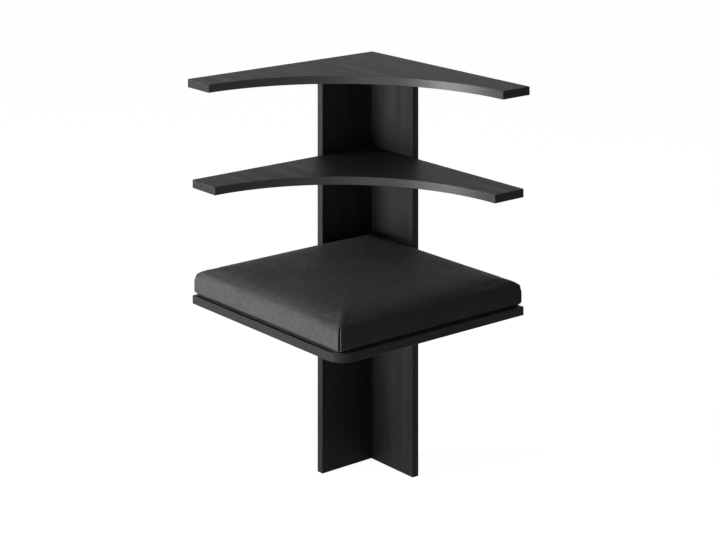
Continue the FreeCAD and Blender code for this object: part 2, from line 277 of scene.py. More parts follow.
photo_camera()
softbox("front_softbox", (-0.2, -2.9, 0.5), BENCH_UPPER, 1.9, 0.7, 11.8, 50)
softbox("side_softbox", (-1.2, -2.6, 1.4), BENCH_MIDDLE, 1.2, 0.8, 40, 180)
softbox("fill_softbox", (1.9, -2.7, 0.45), BENCH_UPPER, 1.2, 0.5, 0.9, 50)
skylight("ceiling", (0.35, 0.2, -1.0), 0.18, 60)
white_world(0.03)
pale_floor(0.965)


# Shader helpers


def link_or_set(tree, socket, value):
    """Give a socket another socket's value, or a plain one."""
    if isinstance(value, bpy.types.NodeSocket):
        tree.links.new(value, socket)
    else:
        socket.default_value = value


def calculate(tree, operation, first, second=0.0):
    node = tree.nodes.new("ShaderNodeMath")
    node.operation = operation
    link_or_set(tree, node.inputs[0], first)
    link_or_set(tree, node.inputs[1], second)
    return node.outputs[0]


def mix_colours(tree, factor, first, second):
    node = tree.nodes.new("ShaderNodeMix")
    node.data_type = "RGBA"
    link_or_set(tree, node.inputs[0], factor)
    link_or_set(tree, node.inputs[6], first)
    link_or_set(tree, node.inputs[7], second)
    return node.outputs[2]


def spread(tree, value, low, high):
    """Stretch a value from 0..1 to low..high."""
    node = tree.nodes.new("ShaderNodeMapRange")
    tree.links.new(value, node.inputs["Value"])
    node.inputs["To Min"].default_value = low
    node.inputs["To Max"].default_value = high
    return node.outputs[0]


def above(tree, value, threshold, softness):
    """A mask that rises from 0 to 1 around a threshold."""
    node = tree.nodes.new("ShaderNodeMapRange")
    node.interpolation_type = "SMOOTHSTEP"
    tree.links.new(value, node.inputs["Value"])
    node.inputs["From Min"].default_value = threshold - softness
    node.inputs["From Max"].default_value = threshold + softness
    return node.outputs[0]


def noise(tree, place, scale, detail, roughness=0.5):
    node = tree.nodes.new("ShaderNodeTexNoise")
    tree.links.new(place, node.inputs["Vector"])
    node.inputs["Scale"].default_value = scale
    node.inputs["Detail"].default_value = detail
    node.inputs["Roughness"].default_value = roughness
    return node.outputs["Fac"]


def stretched(tree, place, scale):
    node = tree.nodes.new("ShaderNodeMapping")
    tree.links.new(place, node.inputs["Vector"])
    node.inputs["Scale"].default_value = scale
    return node.outputs[0]


def object_place(tree):
    return tree.nodes.new("ShaderNodeTexCoord").outputs["Object"]


def new_group(name, inputs, outputs):
    """A shader node group with named sockets, and its two end nodes."""
    group = bpy.data.node_groups.new(name, "ShaderNodeTree")
    for label, kind in inputs.items():
        group.interface.new_socket(name=label, in_out="INPUT", socket_type=kind)
    for label in outputs:
        group.interface.new_socket(name=label, in_out="OUTPUT", socket_type="NodeSocketFloat")
    return group, group.nodes.new("NodeGroupInput"), group.nodes.new("NodeGroupOutput")


def use_group(tree, group, **inputs):
    node = tree.nodes.new("ShaderNodeGroup")
    node.node_tree = group
    for label, value in inputs.items():
        link_or_set(tree, node.inputs[label], value)
    return node.outputs


def new_material(name):
    material = bpy.data.materials.new(name)
    material.use_nodes = True
    tree = material.node_tree
    return material, tree, tree.nodes["Principled BSDF"]


def bump(tree, shader, height, strength, distance):
    node = tree.nodes.new("ShaderNodeBump")
    tree.links.new(height, node.inputs["Height"])
    node.inputs["Strength"].default_value = strength
    node.inputs["Distance"].default_value = distance
    tree.links.new(node.outputs["Normal"], shader.inputs["Normal"])


# Shared effects


def ply_layers_group():
    """Plies through a board's depth: which stretch is an edge, which ply lies across, and its pores."""
    group, given, result = new_group(
        "ply_layers",
        {"Depth": "NodeSocketFloat", "Place": "NodeSocketVector"},
        ["Edge", "Cross ply", "Pores"],
    )
    plies = calculate(group, "DIVIDE", given.outputs["Depth"], BOARD_THICKNESS / PLY_COUNT)
    from_low = above(group, plies, 0.1, 0.05)
    below_high = above(group, calculate(group, "SUBTRACT", PLY_COUNT, plies), 0.1, 0.05)
    group.links.new(calculate(group, "MULTIPLY", from_low, below_high), result.inputs["Edge"])
    wave = calculate(group, "SINE", calculate(group, "MULTIPLY", plies, math.pi))
    crossing = above(group, calculate(group, "MULTIPLY", wave, -1.0), 0.0, 0.25)
    group.links.new(crossing, result.inputs["Cross ply"])
    dots = above(group, noise(group, given.outputs["Place"], 700, 2), 0.56, 0.05)
    group.links.new(dots, result.inputs["Pores"])
    return group


def grain_group():
    """Wood grain along X: broad and fine streaks for the tone, and the fine ones for the height."""
    group, given, result = new_group("grain", {"Place": "NodeSocketVector"}, ["Tone", "Height"])
    broad = stretched(group, given.outputs["Place"], (3, 45, 45))
    fine = stretched(group, given.outputs["Place"], (12, 420, 420))
    lines = noise(group, fine, 1.0, 3)
    broad_share = calculate(group, "MULTIPLY", noise(group, broad, 1.0, 5, 0.6), 0.6)
    tone = calculate(group, "ADD", broad_share, calculate(group, "MULTIPLY", lines, 0.4))
    group.links.new(above(group, tone, 0.5, 0.16), result.inputs["Tone"])
    group.links.new(lines, result.inputs["Height"])
    return group


def hide_group():
    """Leather: pebbled height, cloudy tone, and a few long creases."""
    group, given, result = new_group(
        "hide",
        {"Place": "NodeSocketVector", "Pebbles": "NodeSocketFloat"},
        ["Height", "Tone", "Crease"],
    )
    place = given.outputs["Place"]
    cells = group.nodes.new("ShaderNodeTexVoronoi")
    cells.feature = "SMOOTH_F1"
    cells.inputs["Smoothness"].default_value = 0.6
    group.links.new(place, cells.inputs["Vector"])
    group.links.new(given.outputs["Pebbles"], cells.inputs["Scale"])
    pebbles = calculate(group, "SUBTRACT", 1.0, cells.outputs["Distance"])
    folds = noise(group, place, 55, 5, 0.65)
    height = calculate(group, "ADD", pebbles, calculate(group, "MULTIPLY", folds, 2.2))
    group.links.new(height, result.inputs["Height"])
    cloud = calculate(group, "MULTIPLY", noise(group, place, 18, 8, 0.72), 0.3)
    specks = calculate(group, "MULTIPLY", noise(group, place, 150, 3, 0.65), 0.7)
    tone = calculate(group, "ADD", cloud, specks)
    group.links.new(above(group, tone, 0.5, 0.16), result.inputs["Tone"])
    from_middle = calculate(group, "SUBTRACT", noise(group, place, 7, 3, 0.6), 0.5)
    ridge = calculate(group, "ABSOLUTE", from_middle)
    line = calculate(group, "SUBTRACT", 1.0, above(group, ridge, 0.004, 0.004))
    sparse = above(group, noise(group, place, 5, 1), 0.6, 0.06)
    group.links.new(calculate(group, "MULTIPLY", line, sparse), result.inputs["Crease"])
    return group


def weave_group():
    """Plain weave: threads over and under each other, in the plane of the two given directions."""
    group, given, result = new_group(
        "weave",
        {
            "Along": "NodeSocketFloat",
            "Across": "NodeSocketFloat",
            "Threads per metre": "NodeSocketFloat",
        },
        ["Height"],
    )
    threads = given.outputs["Threads per metre"]
    waves = []
    for direction in ("Along", "Across"):
        turns = calculate(group, "MULTIPLY", given.outputs[direction], threads)
        waves.append(calculate(group, "SINE", calculate(group, "MULTIPLY", turns, math.pi)))
    crossing = calculate(group, "MULTIPLY", waves[0], waves[1])
    group.links.new(spread(group, crossing, 0.5, 1.0), result.inputs["Height"])
    return group


def coat_group():
    """Sprayed or plated metal: a fine uneven height, and slow changes of tone."""
    group, given, result = new_group(
        "coat",
        {"Place": "NodeSocketVector", "Grain": "NodeSocketFloat"},
        ["Height", "Tone"],
    )
    fine = group.nodes.new("ShaderNodeTexNoise")
    group.links.new(given.outputs["Place"], fine.inputs["Vector"])
    group.links.new(given.outputs["Grain"], fine.inputs["Scale"])
    group.links.new(fine.outputs["Fac"], result.inputs["Height"])
    group.links.new(noise(group, given.outputs["Place"], 40, 5, 0.6), result.inputs["Tone"])
    return group


ply_layers = ply_layers_group()
grain = grain_group()
hide = hide_group()
weave = weave_group()
coat = coat_group()


# Materials


def grey(value):
    return (value, value, value, 1)


def black_board(name, depth_axis, low, grain_turn, arc_radius=None):
    """Black stained plywood. The plies show on its edges, and an arc front gets a glossy coat and a
    paler colour that paints a highlight on it.
    """
    material, tree, shader = new_material(name)
    place = object_place(tree)
    parts = tree.nodes.new("ShaderNodeSeparateXYZ")
    tree.links.new(place, parts.inputs[0])
    depth = calculate(tree, "SUBTRACT", parts.outputs[depth_axis], low)
    layers = use_group(tree, ply_layers, Depth=depth, Place=place)
    turned = tree.nodes.new("ShaderNodeMapping")
    turned.inputs["Rotation"].default_value = grain_turn
    tree.links.new(place, turned.inputs["Vector"])
    streaks = use_group(tree, grain, Place=turned.outputs[0])
    face = mix_colours(tree, streaks["Tone"], (0.0155, 0.0156, 0.0155, 1), (0.0265, 0.0268, 0.0268, 1))
    pored = mix_colours(tree, layers["Pores"], grey(0.026), grey(0.010))
    edge = mix_colours(tree, layers["Cross ply"], grey(0.037), pored)
    colour = mix_colours(tree, layers["Edge"], face, edge)
    edge_gloss = calculate(tree, "MULTIPLY", layers["Edge"], 0.08)
    roughness = calculate(tree, "SUBTRACT", spread(tree, streaks["Tone"], 0.48, 0.60), edge_gloss)
    if arc_radius:
        flat_place = stretched(tree, place, (1, 1, 0))
        reach = tree.nodes.new("ShaderNodeVectorMath")
        reach.operation = "DISTANCE"
        tree.links.new(flat_place, reach.inputs[0])
        reach.inputs[1].default_value = (ARC_CENTRE_X, ARC_CENTRE_Y, 0)
        inner = calculate(tree, "SUBTRACT", arc_radius + ARC_FRONT_DEPTH, reach.outputs["Value"])
        arc_gloss_and_painted_highlight = above(tree, inner, 0.0, ARC_FRONT_EASE)
        # The paler colour on the arc front is a painted highlight; the coat weight gives real gloss
        colour = mix_colours(tree, arc_gloss_and_painted_highlight, colour, (0.030, 0.0302, 0.0305, 1))
        tree.links.new(calculate(tree, "MULTIPLY", arc_gloss_and_painted_highlight, 0.28), shader.inputs["Coat Weight"])
        shader.inputs["Coat Roughness"].default_value = 0.32
    tree.links.new(colour, shader.inputs["Base Color"])
    tree.links.new(roughness, shader.inputs["Roughness"])
    shader.inputs["Specular IOR Level"].default_value = 0.08
    bump(tree, shader, streaks["Height"], 0.2, 0.15 * MM)
    return material


def dark_leather():
    material, tree, shader = new_material("dark_leather")
    skin = use_group(tree, hide, Place=object_place(tree), Pebbles=210.0)
    colour = mix_colours(tree, skin["Tone"], (0.065, 0.064, 0.062, 1), (0.088, 0.087, 0.084, 1))
    faint_crease = calculate(tree, "MULTIPLY", skin["Crease"], 0.35)
    colour = mix_colours(tree, faint_crease, colour, (0.11, 0.11, 0.108, 1))
    # The marked seams and tucked base get a near-black colour: painted shade in the grooves and under
    # the cushion's edge
    seam_shade_attribute = tree.nodes.new("ShaderNodeAttribute")
    seam_shade_attribute.attribute_name = "seam"
    colour = mix_colours(tree, seam_shade_attribute.outputs["Fac"], colour, grey(0.004))
    tree.links.new(colour, shader.inputs["Base Color"])
    tree.links.new(spread(tree, skin["Tone"], 0.72, 0.55), shader.inputs["Roughness"])
    shader.inputs["Specular IOR Level"].default_value = 0.04
    bump(tree, shader, skin["Height"], 0.5, 0.7 * MM)
    return material


def woven_cloth(name, along, across, threads, dark, light):
    material, tree, shader = new_material(name)
    parts = tree.nodes.new("ShaderNodeSeparateXYZ")
    tree.links.new(object_place(tree), parts.inputs[0])
    threadwork = use_group(
        tree,
        weave,
        **{"Along": parts.outputs[along], "Across": parts.outputs[across], "Threads per metre": threads},
    )
    colour = mix_colours(tree, threadwork["Height"], dark, light)
    tree.links.new(colour, shader.inputs["Base Color"])
    shader.inputs["Roughness"].default_value = 0.85
    shader.inputs["Specular IOR Level"].default_value = 0.2
    bump(tree, shader, threadwork["Height"], 0.6, 0.3 * MM)
    return material


def coated_metal(name, dark, light, metallic, rough_low, rough_high, grain_scale, relief):
    material, tree, shader = new_material(name)
    surface = use_group(tree, coat, Place=object_place(tree), Grain=grain_scale)
    tree.links.new(mix_colours(tree, surface["Tone"], dark, light), shader.inputs["Base Color"])
    tree.links.new(spread(tree, surface["Tone"], rough_low, rough_high), shader.inputs["Roughness"])
    shader.inputs["Metallic"].default_value = metallic
    bump(tree, shader, surface["Height"], relief, 0.1 * MM)
    return material


def beech(name):
    material, tree, shader = new_material(name)
    streaks = use_group(tree, grain, Place=object_place(tree))
    colour = mix_colours(tree, streaks["Tone"], (0.62, 0.44, 0.27, 1), (0.82, 0.67, 0.47, 1))
    tree.links.new(colour, shader.inputs["Base Color"])
    shader.inputs["Roughness"].default_value = 0.65
    bump(tree, shader, streaks["Height"], 0.4, 0.2 * MM)
    return material


leather = dark_leather()
CLOTH_BLACK = (0.012, 0.012, 0.013, 1)
base_weave = woven_cloth("base_weave", "X", "Y", 900.0, CLOTH_BLACK, (0.045, 0.045, 0.047, 1))
zip_weave = woven_cloth("zip_weave", "Y", "Z", 1600.0, CLOTH_BLACK, (0.04, 0.04, 0.042, 1))
zip_plating = coated_metal(
    "zip_plating",
    dark=(0.05, 0.05, 0.054, 1),
    light=(0.1, 0.1, 0.105, 1),
    metallic=0.9,
    rough_low=0.28,
    rough_high=0.42,
    grain_scale=900.0,
    relief=0.1,
)
powder_coat = coated_metal(
    "powder_coat",
    dark=(0.024, 0.024, 0.025, 1),
    light=(0.036, 0.036, 0.037, 1),
    metallic=0.0,
    rough_low=0.5,
    rough_high=0.6,
    grain_scale=1300.0,
    relief=0.5,
)
zinc_steel = coated_metal(
    "zinc_steel",
    dark=(0.46, 0.46, 0.47, 1),
    light=(0.64, 0.64, 0.65, 1),
    metallic=1.0,
    rough_low=0.25,
    rough_high=0.42,
    grain_scale=700.0,
    relief=0.15,
)
dowel_wood = beech("dowel_wood")

top_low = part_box("top_shelf")[0]
lower_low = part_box("lower_shelf")[0]
seat_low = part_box("seat_board")[0]
left_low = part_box("left_panel")[0]
right_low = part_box("right_panel")[0]
ALONG_X = (0, 0, 0)
UPRIGHT = (0, QUARTER, 0)
node_finish = {
    "top_shelf": black_board("top_shelf_board", "Z", top_low.z, ALONG_X, TOP_ARC_RADIUS),
    "lower_shelf": black_board("lower_shelf_board", "Z", lower_low.z, ALONG_X, LOWER_ARC_RADIUS),
    "seat_board": black_board("seat_board_ply", "Z", seat_low.z, ALONG_X),
    "left_panel": black_board("left_panel_board", "X", left_low.x, UPRIGHT),
    "right_panel": black_board("right_panel_board", "Y", right_low.y, UPRIGHT),
    "seat_bracket": powder_coat,
    "corner_dowels": dowel_wood,
    "top_shelf_dowels": dowel_wood,
    "zip_stops": zip_plating,
}
for name, finish in node_finish.items():
    nodes[name].data.materials.clear()
    nodes[name].data.materials.append(finish)


# Modelling helpers


def take(piece):
    """Make a piece the only selected one."""
    bpy.ops.object.select_all(action="DESELECT")
    piece.select_set(True)
    bpy.context.view_layer.objects.active = piece


def select_faces(piece, chosen):
    """Go into edit mode with the faces selected whose centre and normal are chosen."""
    take(piece)
    bpy.ops.object.mode_set(mode="EDIT")
    bpy.ops.mesh.select_mode(type="FACE")
    bpy.ops.mesh.select_all(action="DESELECT")
    bpy.ops.object.mode_set(mode="OBJECT")
    for face in piece.data.polygons:
        face.select = chosen(face.center, face.normal)
    bpy.ops.object.mode_set(mode="EDIT")


def apply_modifier(piece, kind, **settings):
    take(piece)
    modifier = piece.modifiers.new(kind.lower(), kind)
    for setting, value in settings.items():
        setattr(modifier, setting, value)
    bpy.ops.object.modifier_apply(modifier=modifier.name)


def place_in_mesh(piece):
    """Put the object at the origin, with its place in its mesh."""
    take(piece)
    bpy.ops.object.transform_apply(location=True, rotation=True, scale=True)


def block(name, low, high):
    """A block between two corners, to be shaped further."""
    bpy.ops.object.select_all(action="DESELECT")
    middle = (Vector(low) + Vector(high)) / 2
    bpy.ops.mesh.primitive_cube_add(size=1, location=middle)
    piece = bpy.context.object
    piece.name = name
    piece.scale = Vector(high) - Vector(low)
    place_in_mesh(piece)
    return piece


def join(pieces):
    """Join pieces into the first one."""
    bpy.ops.object.select_all(action="DESELECT")
    for piece in pieces:
        piece.select_set(True)
    bpy.context.view_layer.objects.active = pieces[0]
    bpy.ops.object.join()
    return pieces[0]


def merged_copy(name, node):
    """A new object with a copy of a CAD node's mesh, its loose triangles merged."""
    piece = bpy.data.objects.new(name, nodes[node].data.copy())
    scene.collection.objects.link(piece)
    piece.data.materials.clear()
    take(piece)
    bpy.ops.object.mode_set(mode="EDIT")
    bpy.ops.mesh.select_all(action="SELECT")
    bpy.ops.mesh.remove_doubles(threshold=0.01 * MM)
    bpy.ops.object.mode_set(mode="OBJECT")
    return piece


def finish_piece(piece, body, slot, material, *replaced):
    piece.data.materials.clear()
    piece.data.materials.append(material)
    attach(piece, body)
    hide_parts(*replaced)


# Cushion


def smooth_step(value, start, end):
    share = min(max((value - start) / (end - start), 0.0), 1.0)
    return share * share * (3 - 2 * share)


def swell(piece, rest_height):
    """Fill the cover: pressure swells it, its underside stays down, and no point moves far."""
    mesh = piece.data
    resting = piece.vertex_groups.new(name="resting")
    resting.add([v.index for v in mesh.vertices if v.co.z < rest_height], 1.0, "REPLACE")
    before = [(v.co.copy(), v.normal.copy()) for v in mesh.vertices]
    take(piece)
    cloth = piece.modifiers.new("filling", "CLOTH")
    cloth.settings.vertex_group_mass = resting.name
    cloth.settings.use_pressure = True
    cloth.settings.uniform_pressure_force = CUSHION_PRESSURE
    cloth.settings.effector_weights.gravity = 0
    for step in range(1, CUSHION_FRAMES + 1):
        scene.frame_set(step)
    bpy.ops.object.modifier_apply(modifier=cloth.name)
    scene.frame_set(1)
    for vertex, (start, outwards) in zip(piece.data.vertices, before):
        moved = vertex.co - start
        sideways = Vector((outwards.x, outwards.y, 0))
        reach = min(max(moved.dot(sideways), 0.0), SIDE_SWELL)
        rise = TOP_SWELL * math.tanh(max(moved.z, 0.0) / TOP_SWELL_EASE)
        vertex.co = start + sideways * reach + Vector((0, 0, rise))
    piece.vertex_groups.remove(piece.vertex_groups["resting"])


def mesh_box(piece):
    low = Vector(map(min, zip(*(v.co for v in piece.data.vertices))))
    high = Vector(map(max, zip(*(v.co for v in piece.data.vertices))))
    return low, high


def stretch_to(piece, low, high):
    """Stretch a piece so that it fills the box between two corners."""
    old_low, old_high = mesh_box(piece)
    for vertex in piece.data.vertices:
        for axis in range(3):
            share = (vertex.co[axis] - old_low[axis]) / (old_high[axis] - old_low[axis])
            vertex.co[axis] = low[axis] + share * (high[axis] - low[axis])


def corner_lines(low, high):
    """The four upright corners, each with its direction outwards."""
    for x, out_x in ((low.x, -1), (high.x, 1)):
        for y, out_y in ((low.y, -1), (high.y, 1)):
            yield Vector((x, y, 0)), Vector((out_x, out_y, 0)).normalized()


def soften_corners(piece, low, high):
    """Round off the crease that runs over the top at each corner."""
    corners = [corner for corner, _ in corner_lines(low, high)]

    def at_top_corner(centre, normal):
        flat_centre = Vector((centre.x, centre.y, 0))
        nearest = min((flat_centre - corner).length for corner in corners)
        return centre.z > high.z - SOFT_CORNER_DROP and nearest < SOFT_CORNER_REACH

    select_faces(piece, at_top_corner)
    bpy.ops.mesh.vertices_smooth(factor=0.5, repeat=SOFT_CORNER_PASSES)
    bpy.ops.object.mode_set(mode="OBJECT")


def tuck_base(piece, low, high):
    """Turn the sides in under the cushion, to where the base cloth is sewn on, and mark that tucked band
    for painted shade.
    """
    for vertex, shade_mark in zip(piece.data.vertices, piece.data.attributes["seam"].data):
        place = vertex.co
        tucked = smooth_step(place.z - low.z, TUCK_HEIGHT, TUCK_HEIGHT - TUCK_EASE)
        inwards = TUCK_DEPTH * tucked
        # The tucked band is marked for painted shade under the cushion's edge
        shade_mark.value = max(shade_mark.value, tucked)
        place.x = min(max(place.x, low.x + inwards), high.x - inwards)
        place.y = min(max(place.y, low.y + inwards), high.y - inwards)


def pull_in_sides(piece, low, high):
    """Draw three sides in a little between the corners. The zip holds the fourth straight."""
    middle = (low + high) / 2
    half = (high - low) / 2
    for vertex in piece.data.vertices:
        place = vertex.co
        along_x = 1 - ((place.x - middle.x) / half.x) ** 2
        along_y = 1 - ((place.y - middle.y) / half.y) ** 2
        from_front = smooth_step(place.y - low.y, PULL_IN_REACH, 0)
        from_back = smooth_step(high.y - place.y, PULL_IN_REACH, 0)
        from_right = smooth_step(high.x - place.x, PULL_IN_REACH, 0)
        place.y += SIDE_PULL_IN * along_x * (from_front - from_back)
        place.x -= SIDE_PULL_IN * along_y * from_right


def sew_corners(piece, low, high):
    """Sink a sewn seam between two lips into each upright corner, and mark its groove in an attribute
    for painted shade.
    """
    corners = list(corner_lines(low, high))

    def near_corner(centre, normal):
        flat_centre = Vector((centre.x, centre.y, 0))
        return any((flat_centre - corner).length < CORNER_ZONE for corner, _ in corners)

    select_faces(piece, near_corner)
    bpy.ops.mesh.subdivide(number_cuts=2, smoothness=1)
    bpy.ops.object.mode_set(mode="OBJECT")
    foot = low.z + SEAM_FOOT
    head = high.z - SEAM_HEAD
    seam_shade_attribute = piece.data.attributes.new("seam", "FLOAT", "POINT")
    for vertex, shade_mark in zip(piece.data.vertices, seam_shade_attribute.data):
        for corner, outwards in corners:
            from_corner = Vector((vertex.co.x, vertex.co.y, 0)) - corner
            if from_corner.length > CORNER_ZONE:
                continue
            across = from_corner.x * outwards.y - from_corner.y * outwards.x
            upright = smooth_step(vertex.co.z, foot, foot + SEAM_FADE)
            upright *= smooth_step(vertex.co.z, head, head - SEAM_FADE)
            groove = math.exp(-((across / SEAM_HALF_WIDTH) ** 2))
            lip = math.exp(-(((abs(across) - SEAM_LIP_OFFSET) / SEAM_HALF_WIDTH) ** 2))
            vertex.co += outwards * upright * (SEAM_LIP * lip - SEAM_DEPTH * groove)
            # The mark paints shade into the seam's groove
            shade_mark.value = upright * math.exp(-((across / SEAM_SHADE_WIDTH) ** 2))


def sink_zip_channel(piece):
    """Make room in the cover's wall side for the zip tape."""
    low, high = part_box("zip_chain")

    def at_zip(centre, normal):
        beside_z = low.z - CHANNEL_FINE_Z < centre.z < high.z + CHANNEL_FINE_Z
        beside_y = low.y - CHANNEL_FINE_Y < centre.y < high.y + CHANNEL_FINE_Y
        return beside_z and beside_y and centre.x < high.x + CHANNEL_FINE_X

    select_faces(piece, at_zip)
    bpy.ops.mesh.subdivide(number_cuts=1)
    bpy.ops.object.mode_set(mode="OBJECT")
    for vertex in piece.data.vertices:
        place = vertex.co
        inside_z = low.z - CHANNEL_GAP_Z < place.z < high.z + CHANNEL_GAP_Z
        inside_y = low.y - CHANNEL_GAP_Y < place.y < high.y + CHANNEL_GAP_Y
        if inside_z and inside_y and place.x < high.x:
            place.x = max(place.x, low.x + CHANNEL_DEPTH)


def cushion():
    """The padded cushion, swollen and sewn."""
    piece = merged_copy("seat_cushion", "cushion_foam")
    cover_low, cover_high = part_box("cushion_cover")
    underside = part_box("cushion_foam")[0].z
    low = Vector((cover_low.x + START_INSET, cover_low.y + START_INSET, underside))
    high = Vector((cover_high.x - START_INSET, cover_high.y - START_INSET, cover_high.z + SHOULDER_LIFT))
    stretch_to(piece, low, high)
    apply_modifier(piece, "REMESH", mode="VOXEL", voxel_size=CUSHION_VOXEL)
    swell(piece, underside + RESTING_HEIGHT)
    apply_modifier(piece, "SUBSURF", levels=1, render_levels=1)
    low = Vector((cover_low.x, cover_low.y, underside))
    high = Vector((cover_high.x, cover_high.y, mesh_box(piece)[1].z))
    stretch_to(piece, low, high)
    soften_corners(piece, low, high)
    pull_in_sides(piece, low, high)
    sew_corners(piece, low, high)
    tuck_base(piece, low, high)
    sink_zip_channel(piece)
    take(piece)
    bpy.ops.object.shade_smooth()
    finish_piece(piece, "cushion", "cover", leather, "cushion_cover", "cushion_foam")
    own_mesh(piece)


# Base cloth, zip and screws


def base_cloth():
    """The cloth under the cushion: a stretched square with a hem pressed up along its four sides."""
    low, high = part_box("cushion_base")
    size = high.x - low.x
    middle = (low + high) / 2
    bpy.ops.object.select_all(action="DESELECT")
    bpy.ops.mesh.primitive_grid_add(
        x_subdivisions=CLOTH_CELLS,
        y_subdivisions=CLOTH_CELLS,
        size=size,
        location=(middle.x, middle.y, low.z),
    )
    piece = bpy.context.object
    piece.name = "base_cloth"
    place_in_mesh(piece)
    for vertex in piece.data.vertices:
        from_edge = size / 2 - max(abs(vertex.co.x - middle.x), abs(vertex.co.y - middle.y))
        hem = smooth_step(from_edge, HEM_WIDTH + HEM_EASE, HEM_WIDTH)
        vertex.co.z += HEM_RISE * hem
    apply_modifier(piece, "SOLIDIFY", thickness=CLOTH_THICKNESS, offset=1)
    take(piece)
    bpy.ops.object.shade_smooth()
    finish_piece(piece, "cushion", "base_cloth", base_weave, "cushion_base")


def zip_tape(low, high):
    """Two tapes that meet under the coil, each with a raised woven edge."""
    middle = (low.z + high.z) / 2
    tapes = []
    for name, start, end in (("zip_strip", low.z, middle), ("upper_tape", middle, high.z)):
        tape = block(name, (high.x - ZIP_TAPE_THICKNESS, low.y, start), (high.x, high.y, end))
        select_faces(tape, lambda centre, normal: normal.x < -0.9)
        bpy.ops.mesh.inset(thickness=ZIP_SELVAGE)
        bpy.ops.transform.translate(value=(ZIP_SELVAGE_RISE, 0, 0))
        bpy.ops.object.mode_set(mode="OBJECT")
        apply_modifier(tape, "BEVEL", width=ZIP_TAPE_EDGE, segments=1)
        tapes.append(tape)
    return tapes


def zip_coil(low, high):
    """A row of flattened wire loops across the zip."""
    middle = (low.z + high.z) / 2
    loop_middle = low.x + ZIP_LOOP_DEPTH / 2
    bpy.ops.object.select_all(action="DESELECT")
    bpy.ops.mesh.primitive_torus_add(
        major_segments=8,
        minor_segments=4,
        major_radius=ZIP_LOOP_RADIUS,
        minor_radius=ZIP_WIRE_RADIUS,
        location=(loop_middle, high.y - ZIP_PITCH, middle),
        rotation=(QUARTER, 0, 0),
    )
    coil = bpy.context.object
    coil.scale = (ZIP_LOOP_DEPTH / 2 / (ZIP_LOOP_RADIUS + ZIP_WIRE_RADIUS), 1, 1)
    place_in_mesh(coil)
    loops = int((high.y - low.y) / ZIP_PITCH) - 1
    apply_modifier(
        coil,
        "ARRAY",
        count=loops,
        use_relative_offset=False,
        use_constant_offset=True,
        constant_offset_displace=(0, -ZIP_PITCH, 0),
    )
    take(coil)
    bpy.ops.object.shade_smooth()
    return coil


def zip_chain():
    low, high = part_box("zip_chain")
    piece = join(zip_tape(low, high) + [zip_coil(low, high)])
    finish_piece(piece, "cushion", "zip_tape", zip_weave, "zip_chain")


def slider_body(low, high):
    """The slider's plate, narrower at its tail, with a rail on each side of the coil."""
    plate_back = high.x - SLIDER_RAIL_HEIGHT
    plate = block("zip_runner", (plate_back - SLIDER_PLATE, low.y, low.z), (plate_back, high.y, high.z))
    select_faces(plate, lambda centre, normal: normal.y < -0.9)
    bpy.ops.transform.resize(value=(1, 1, SLIDER_TAIL_SHARE))
    bpy.ops.object.mode_set(mode="OBJECT")
    apply_modifier(plate, "BEVEL", width=SLIDER_EDGE, segments=3)
    parts = [plate]
    for start, end in ((low.z, low.z + SLIDER_RAIL_WIDTH), (high.z - SLIDER_RAIL_WIDTH, high.z)):
        rail_low = (plate_back - SLIDER_RAIL_SUNK, low.y + SLIDER_RAIL_START, start)
        rail = block("rail", rail_low, (high.x, high.y, end))
        apply_modifier(rail, "BEVEL", width=SLIDER_RAIL_EDGE, segments=2)
        parts.append(rail)
    return parts


def slider_bridge(low, high):
    """The loop on the plate that holds the pull: a bar with two feet."""
    middle = (low.z + high.z) / 2
    foot = high.x - SLIDER_RAIL_HEIGHT - SLIDER_PLATE
    bar = block(
        "bridge",
        (low.x, low.y + BRIDGE_INSET, middle - BRIDGE_HALF_WIDTH),
        (foot + BRIDGE_SUNK, high.y - BRIDGE_INSET, middle + BRIDGE_HALF_WIDTH),
    )
    select_faces(bar, lambda centre, normal: abs(normal.z) > 0.9)
    bpy.ops.mesh.inset(thickness=BRIDGE_BAR)
    bpy.ops.mesh.bridge_edge_loops()
    bpy.ops.object.mode_set(mode="OBJECT")
    apply_modifier(bar, "BEVEL", width=BRIDGE_EDGE, segments=2)
    return bar


def slider_pull(low, high):
    """The pull: a flat tongue with a slot, hanging from the bridge."""
    middle = (low + high) / 2
    top = middle.z + PULL_RISE
    pull = block(
        "pull",
        (low.x - PULL_PROUD, middle.y - PULL_WIDTH / 2, top - PULL_LENGTH),
        (low.x + PULL_SUNK, middle.y + PULL_WIDTH / 2, top),
    )
    select_faces(pull, lambda centre, normal: normal.z < -0.9)
    bpy.ops.transform.resize(value=(1, PULL_TAIL_SHARE, 1))
    bpy.ops.object.mode_set(mode="OBJECT")
    select_faces(pull, lambda centre, normal: abs(normal.x) > 0.9)
    bpy.ops.mesh.inset(thickness=PULL_FRAME)
    bpy.ops.mesh.bridge_edge_loops()
    bpy.ops.object.mode_set(mode="OBJECT")
    apply_modifier(pull, "BEVEL", width=PULL_EDGE, segments=2)
    return pull


def zip_slider():
    low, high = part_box("zip_slider")
    piece = join(slider_body(low, high) + [slider_bridge(low, high), slider_pull(low, high)])
    take(piece)
    bpy.ops.object.shade_smooth_by_angle(angle=math.radians(35))
    finish_piece(piece, "slider", "zip_metal", zip_plating, "zip_slider")


